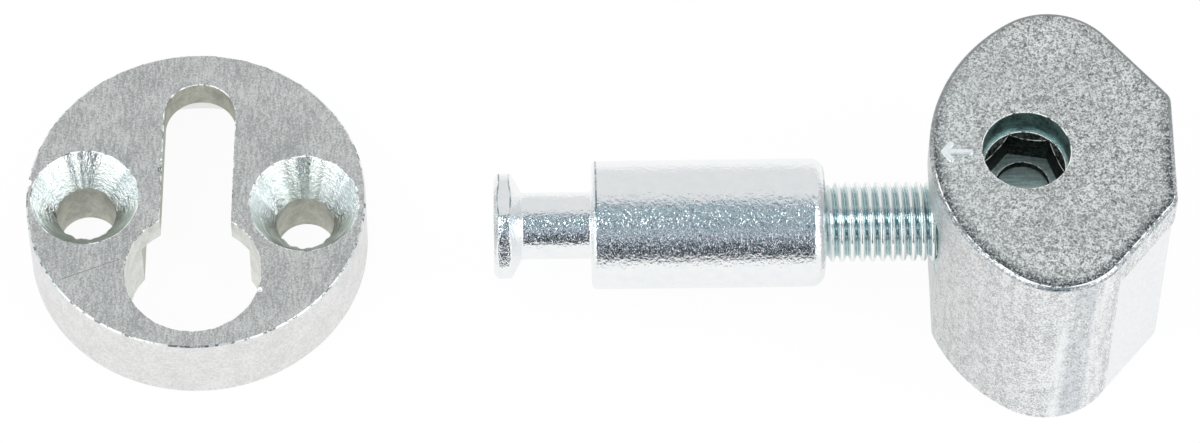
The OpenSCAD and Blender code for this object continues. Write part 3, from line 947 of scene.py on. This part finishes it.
def make_bolt():
    count = 144
    angles = [2 * math.pi * i / count for i in range(count)]
    face_r, face_slope, taper_slope = HEAD_AF / 2 - 0.35, 1.73, 1.9
    shoulder_z = HEAD_L + NECK_L
    thread_z = shoulder_z + SHOULDER_L

    def hexagon(a):
        """Radius of the head at an angle, with its corners turned off."""
        corner = HEAD_AF / 2 / math.cos((a % (math.pi / 3)) - math.pi / 6)
        return min(corner, (corner + HEAD_TURN_R) / 2, HEAD_CORNER_R)

    def above(a):
        return (hexagon(a) - face_r) / face_slope

    def under(a):
        return HEAD_L - (hexagon(a) - NECK_R) / taper_slope

    def ring(radius, z):
        return [
            (radius(a) * math.cos(a), radius(a) * math.sin(a), z(a) if callable(z) else z)
            for a in angles
        ]

    def plain(r, z):
        return ring(lambda a: r, z)

    # Head: its face's rounded rim, the cone, the six flats and the cone underneath
    rings = [plain(face_r + out, z) for out, z in ((-0.12, 0.0), (-0.04, 0.01), (0.04, 0.05))]
    soft = 0.16
    for cone, inset, lift in (
        (above, soft, -0.25),
        (above, soft * 0.3, 0.05),
        (above, 0.0, 0.75),
        (under, 0.0, -0.75),
        (under, soft * 0.3, -0.05),
        (under, soft, 0.25),
    ):
        rings.append(
            ring(
                lambda a, inset=inset: hexagon(a) - inset * 0.5,
                lambda a, cone=cone, lift=lift: cone(a) + soft * lift,
            )
        )
    # Neck with small fillets at both ends
    fillet = 0.22
    for turn in quarter(3):
        rings.append(plain(NECK_R + fillet * (1 - math.sin(turn)),
                           HEAD_L + fillet * (0.65 - math.cos(turn))))
    for turn in quarter(3):
        rings.append(plain(NECK_R + fillet * (1 - math.cos(turn)),
                           shoulder_z - fillet * (1 - math.sin(turn))))
    # Plain shoulder
    for turn in quarter(4):
        rings.append(plain(SHOULDER_R - SHOULDER_BREAK * (1 - math.sin(turn)),
                           shoulder_z + SHOULDER_BREAK * (1 - math.cos(turn))))
    for turn in quarter(8):
        rings.append(plain(SHOULDER_R - SHOULDER_ROUND * (1 - math.cos(turn)),
                           thread_z - SHOULDER_ROUND * (1 - math.sin(turn))))
    # Thread: a helix of broad rounded crests, from its run-out at the shoulder to the chamfer
    per_pitch, phase, first_share, run_out, chamfer = 20, 0.37, 0.35, 0.9, 0.6
    steps = round((BOLT_L - thread_z) / PITCH * per_pitch)
    for k in range(steps + 1):
        z = thread_z + (BOLT_L - thread_z) * k / steps
        share = min(1.0, first_share + (z - thread_z) / run_out)
        limit = THREAD_R - max(0.0, z - (BOLT_L - chamfer))

        def radius(a):
            u = (z / PITCH - a / (2 * math.pi) + phase) % 1.0
            away = abs(u - 0.5) * 2  # 1 at the crest, 0 at the root
            ridge = math.sin(math.pi / 2 * min(1.0, max(0.0, 1.3 * away - 0.16)))
            return min(limit, THREAD_R - THREAD_DEPTH + THREAD_DEPTH * ridge * share)

        rings.append(ring(radius, z))
    bolt = skin("Shoulder_Bolt", rings)
    move(bolt, Matrix.Translation((HEAD_X, 0, AXIS_H)) @ ALONG_X)
    # These bands get the painted dark line where they reflect dark
    dark_line_bands = (4, 6, 20, 27, 28, 29)  # bands at the head's two edges and the shoulder's two ends

    def pick(face):
        if face.center.x > HEAD_X + thread_z + 0.01:
            return thread_zinc
        return bolt_painted_dark_line if (face.index - 2) // count in dark_line_bands else bolt_zinc

    looks = [bolt_zinc, thread_zinc, bolt_painted_dark_line]
    finish_piece(bolt, "bolt", ["shoulder_bolt"], looks, pick, 40)


# ---- plate


def make_plate():
    flat_r, lip_z = PLATE_R - PLATE_EDGE, PLATE_T - LIP_T
    rim = [(flat_r, 0.0), (PLATE_R, PLATE_EDGE), (PLATE_R, PLATE_T - PLATE_EDGE), (flat_r, PLATE_T)]
    plate = lathe("Keyhole_Plate", rim, 224)

    def keyhole(grow):
        """Line of the keyhole, grown by grow(x, y), from the round hole's left end."""
        half = SLOT_W / 2
        meet = math.asin(half / ENTRY_R)
        foot = -ENTRY_REACH + ENTRY_R * math.cos(meet)
        line = []
        for i in range(141):
            a = math.pi / 2 + meet + (2 * math.pi - 2 * meet) * i / 140
            x, y = math.cos(a), math.sin(a)
            line.append((ENTRY_R * x, ENTRY_R * y - ENTRY_REACH, x, y))
        for i in range(1, 50):
            line.append((half, foot + (SLOT_REACH - foot) * i / 50, 1, 0))
        for i in range(45):
            x, y = math.cos(math.pi * i / 44), math.sin(math.pi * i / 44)
            line.append((half * x, SLOT_REACH + half * y, x, y))
        for i in range(1, 50):
            line.append((-half, SLOT_REACH + (foot - SLOT_REACH) * i / 50, -1, 0))
        return [(x + nx * grow(x, y), y + ny * grow(x, y)) for x, y, nx, ny in line]

    def ragged(x, y):
        """How far an edge of the face is worn back at a place."""
        return max(0.015, 0.05 + 0.09 * noise.noise(Vector((x * 1.7, y * 1.7, 3))))

    pocket_y = math.sqrt(POCKET_REACH**2 - (POCKET_W / 2) ** 2)
    turn = math.degrees(math.atan2(pocket_y, POCKET_W / 2))
    plan = [(-POCKET_W / 2, -ENTRY_REACH), (POCKET_W / 2, -ENTRY_REACH)]
    plan += arc((0, 0), POCKET_REACH, turn, 180 - turn, 0.3)

    def roof(y):
        return lip_z - LIP_RAMP * (y + ENTRY_REACH) / (POCKET_REACH + ENTRY_REACH)

    pocket = skin("pocket", [[(x, y, -PAST) for x, y in plan], [(x, y, roof(y)) for x, y in plan]])
    # Each countersink's place, radius at the face, depth and hole radius as it was drilled
    drilled = (
        (-SCREW_GAP / 2 - 0.15, 0.06, SINK_R - 0.05, SINK_DEPTH - 0.25, SCREW_R),
        (SCREW_GAP / 2 - 0.105, -0.24, SINK_R + 0.02, SINK_DEPTH + 0.23, SCREW_R - 0.05),
    )
    sinks = []
    near = 0.05  # from the face to the rings just below and above it
    for x, y, sink_r, depth, hole_r in drilled:
        slope = (sink_r - hole_r) / depth
        rings = [circle(hole_r, -PAST)]
        rings.append([
            (px, py, pz + SINK_UNEVEN * 2 * noise.noise(Vector((px * 2.4, py * 2.4, x))))
            for px, py, pz in circle(hole_r, PLATE_T - depth)
        ])
        rings.append(circle(sink_r - slope * near, PLATE_T - near))
        flared = []
        for px, py, pz in circle(sink_r, PLATE_T + near):
            grow = 1 + 2 * ragged(px, py + x) / sink_r
            flared.append((px * grow, py * grow, pz))
        sinks.append(move(skin("sink", [*rings, flared]), Matrix.Translation((x, y, 0))))
    opening = skin("keyhole", [
        [(x, y, z) for x, y in keyhole(grow)]
        for z, grow in (
            (-PAST, lambda x, y: 0.0),
            (PLATE_T - RAGGED_UP, lambda x, y: 0.0),
            (PLATE_T + RAGGED_UP, lambda x, y: 2 * ragged(x, y)),
        )
    ])
    cut(plate, opening, pocket, *sinks)

    # A nick in the rim, a notch in the slot's edge and a dent at the round hole's edge
    chips = ((-12.6, 1.25, 0.34), (-2.72, 2.5, 0.24), (5.0, -7.64, 0.2), (-2.7, 3.4, 0.12))
    for x, y, r in chips:
        nick = lathe("nick", [(0.3 * r, PLATE_T - 0.7 * r), (0.8 * r, PLATE_T - 0.4 * r),
                              (r, PLATE_T), (r, PLATE_T + PAST)], 12)
        cut(plate, move(nick, Matrix.Translation((x, y, 0))))

    # Edges of the face and the chips are marked rubbed, with a painted highlight
    for face in plate.data.polygons:
        c, n = face.center, face.normal
        in_edge = c.z > PLATE_T - 0.08 and 0.3 < n.z < 0.98
        chipped = n.z < 0.9 and any(
            math.hypot(c.x - x, c.y - y) < r and c.z > PLATE_T - r for x, y, r in chips
        )
        if chipped or in_edge and math.hypot(c.x, c.y) < flat_r - 0.01:
            face.material_index = WORN_AND_HIGHLIT

    def pick(face):
        c, n = face.center, face.normal
        r = math.hypot(c.x, c.y)
        if n.z > 0.9 and c.z > PLATE_T - 0.2:
            return plate_face
        if n.z > 0.3 and r > flat_r - 0.01:
            return plate_rim
        if r > flat_r - 0.02 and c.z > 0:
            return plate_side
        if n.z > 0.3 and any(
            math.hypot(c.x - x, c.y - y) < sink_r + 0.1 for x, y, sink_r, *_ in drilled
        ):
            return turned_sink
        if c.z < lip_z - 0.02 and abs(n.z) < 0.5 and r > POCKET_REACH - 0.1:
            return pocket_wall_painted_light
        by_entry = c.y < -1.5 and SLOT_W / 2 - 0.1 < abs(c.x) < ENTRY_R + 0.1
        return entry_wall_painted_light if by_entry else plate_wall

    picked = [pick(face) for face in plate.data.polygons]
    turned = Matrix.Rotation(math.radians(PLATE_TURN), 4, "Z")
    move(plate, Matrix.Translation((-PLATE_BACK, PLATE_SIDE, 0)) @ turned)
    finish_piece(
        plate, "housing", ["keyhole_plate"],
        [plate_face, plate_side, plate_wall, turned_sink, pocket_wall_painted_light, entry_wall_painted_light, plate_rim],
        lambda face: picked[face.index],
    )


def make_arrow():
    """Small raised arrow cast in the cap, which points to the bolt."""
    tip, tail, barb = (-6.02, -0.08), (-4.1, -0.12), ((-5.46, 0.56), (-5.52, -0.74))

    def stadium(length, share):
        r, step = ARROW_HALF * share, ARROW_STEP * share
        return arc((length, 0), r, -90, 90, step) + arc((0, 0), r, 90, 270, step)

    rods = []
    for a, b in ((tail, tip), (barb[0], tip), (barb[1], tip)):
        rod = skin("rod", [
            [(x, y, HOUSING_H + z) for x, y in stadium(math.dist(a, b), share)]
            for z, share in ((-ARROW_ROOT, 1), (ARROW_RISE * 0.5, 1), (ARROW_RISE, ARROW_TOP))
        ])
        turned = Matrix.Rotation(math.atan2(b[1] - a[1], b[0] - a[0]), 4, "Z")
        rods.append(move(rod, Matrix.Translation((*a, 0)) @ turned))
    arrow = combine(rods[0], "UNION", *rods[1:])
    arrow.name = "Cap_Arrow"
    finish_piece(arrow, "housing", [], [cast_mark])


make_body()
make_cap()
make_drive_gear()
make_nut_gear()
make_bolt()
make_plate()
make_arrow()


# ---- camera


# The camera's place in mm and its directions were solved from points of the photograph
camera = add("camera", bpy.data.cameras.new("camera"))
right = Vector((0.9998, -0.01864, 0.00756)).normalized()
ahead = Vector((0.01595, 0.50593, -0.86242)).normalized()
right = (right - ahead * right.dot(ahead)).normalized()
up = right.cross(ahead)
place = Matrix((right, up, -ahead)).transposed().to_4x4()
place.translation = Vector((-38.89, -254.49, 443.53)) * MM
camera.matrix_world = place
camera.data.lens = 205.0
camera.data.sensor_width = 36.0
camera.data.clip_start, camera.data.clip_end = 0.01, 20
bpy.context.scene.camera = camera


# ---- floor and light


# The white sheet under the object, as metal sees it: its middle and half its width in
# metres, where its front edge fades, and how slanting its sides are where they fade
SHEET_X, SHEET_HALF, SHEET_FRONT, SHEET_SLANT = -0.031, 0.045, (-0.092, -0.083), (0.24, 0.36)

floor = mesh_object("Floor", [(-3, -3, 0), (3, -3, 0), (3, 3, 0), (-3, 3, 0)], [(0, 1, 2, 3)])
floor_material = bpy.data.materials.new("pale_floor")
floor_material.use_nodes = True
tree = floor_material.node_tree
tree.nodes.clear()
rays = node(tree, "ShaderNodeLightPath").outputs
spot = axes(tree, node(tree, "ShaderNodeTexCoord").outputs["Object"])
sheet = spread(tree, spot["Y"], *SHEET_FRONT, 0.1)
aside = math_node(tree, "ABSOLUTE", math_node(tree, "ADD", spot["X"], -SHEET_X))
aside = math_node(tree, "SUBTRACT", aside, SHEET_HALF)
forward = math_node(tree, "MAXIMUM", times(tree, spot["Y"], -1.0), 0.001)
slant = math_node(tree, "DIVIDE", aside, forward)
sheet = math_node(tree, "MAXIMUM", sheet, spread(tree, slant, *SHEET_SLANT))
reflected = math_node(tree, "MAXIMUM", rays["Is Glossy Ray"], rays["Is Transmission Ray"])
seen = math_node(tree, "MAXIMUM", times(tree, rays["Is Camera Ray"], 0.94),
                 times(tree, reflected, 0.75))
matte = node(tree, "ShaderNodeBsdfDiffuse", {"Color": (0.86, 0.86, 0.86, 1)}).outputs[0]
white = node(tree, "ShaderNodeEmission", {"Color": (1, 1, 1, 1), "Strength": 1.0}).outputs[0]
lit = node(tree, "ShaderNodeMixShader", {0: seen, 1: matte, 2: white}).outputs[0]
dark = node(tree, "ShaderNodeBsdfDiffuse", {"Color": (0.03, 0.045, 0.06, 1)}).outputs[0]
beyond = times(tree, reflected, math_node(tree, "SUBTRACT", 1.0, sheet))
mixed = node(tree, "ShaderNodeMixShader", {0: beyond, 1: lit, 2: dark}).outputs[0]
node(tree, "ShaderNodeOutputMaterial", {"Surface": mixed})
floor.data.materials.append(floor_material)

world = bpy.data.worlds.new("studio")
bpy.context.scene.world = world
world.use_nodes = True
tree = world.node_tree
tree.nodes.clear()
rays = node(tree, "ShaderNodeLightPath").outputs
around = node(tree, "ShaderNodeTexCoord").outputs["Generated"]
way = axes(tree, around)
# What metal sees: a pale tent behind and above, a dim room full of things towards the
# photographer, and a bright soft panel on either side of it
toward = times(tree, way["Y"], -1.0)
aside = math_node(tree, "ABSOLUTE", way["X"])
in_room = spread(tree, toward, -0.24, -0.12)
dim = times(tree, spread(tree, toward, 0.35, 0.6), spread(tree, way["Z"], 0.6, 0.3))
things = plain_noise(tree, around, 9.0, 2.0)
clutter = times(tree, spread(tree, things, 0.46, 0.60, 0.02, 0.66),
                spread(tree, dim, 0.0, 1.0, 1.0, 0.08))
glints = times(tree, spread(tree, plain_noise(tree, around, 15.0, 1.0), 0.61, 0.66),
               spread(tree, dim, 0.0, 1.0, 2.6, 0.8))
room = math_node(tree, "ADD", clutter, glints)
panel = times(
    tree,
    times(tree, spread(tree, aside, 0.17, 0.30), spread(tree, aside, 0.99, 0.9)),
    times(tree, spread(tree, way["Z"], 0.66, 0.52), spread(tree, toward, -0.1, 0.08)),
)
level = node(tree, "ShaderNodeMix", {"Factor": in_room, 2: 0.84, 3: room}).outputs[0]
level = math_node(tree, "ADD", level, times(tree, panel, 1.3))
tints = blend(tree, spread(tree, things, 0.4, 0.6), (0.58, 0.76, 1.0), (0.80, 0.94, 1.0))
shades = plain_noise(tree, around, 12.0, 1.0)
tints = blend(tree, spread(tree, shades, 0.58, 0.68), tints, (0.48, 0.95, 0.82))
tints = blend(tree, spread(tree, shades, 0.42, 0.34), tints, (0.92, 0.76, 1.0))
tinted = math_node(tree, "SUBTRACT", in_room, panel)
tints = blend(tree, tinted, (0.985, 0.995, 1.0), tints)
studio = node(tree, "ShaderNodeBackground", {"Color": tints, "Strength": level}).outputs[0]
plain = node(tree, "ShaderNodeBackground", {"Color": (1, 1, 1, 1), "Strength": 1.0}).outputs[0]
sky = node(tree, "ShaderNodeMixShader", {0: rays["Is Glossy Ray"], 1: plain, 2: studio}).outputs[0]
node(tree, "ShaderNodeOutputWorld", {"Surface": sky})


def area_light(name, place, target, size, power):
    """A round lamp of a size in metres and a power in watts, turned to the target."""
    lamp = bpy.data.lights.new(name, "AREA")
    lamp.shape, lamp.size, lamp.energy = "DISK", size, power
    made = add(name, lamp)
    made.location = place
    made.rotation_euler = (Vector(target) - Vector(place)).to_track_quat("-Z", "Y").to_euler()


middle = (cad_lo + cad_hi) / 2
area_light("key", (-0.35, -0.25, 0.65), middle, 0.35, 1.2)
area_light("fill", (0.40, -0.20, 0.60), middle, 0.35, 1.0)

bpy.context.scene.view_settings.view_transform = "Standard"

bpy.context.view_layer.update()
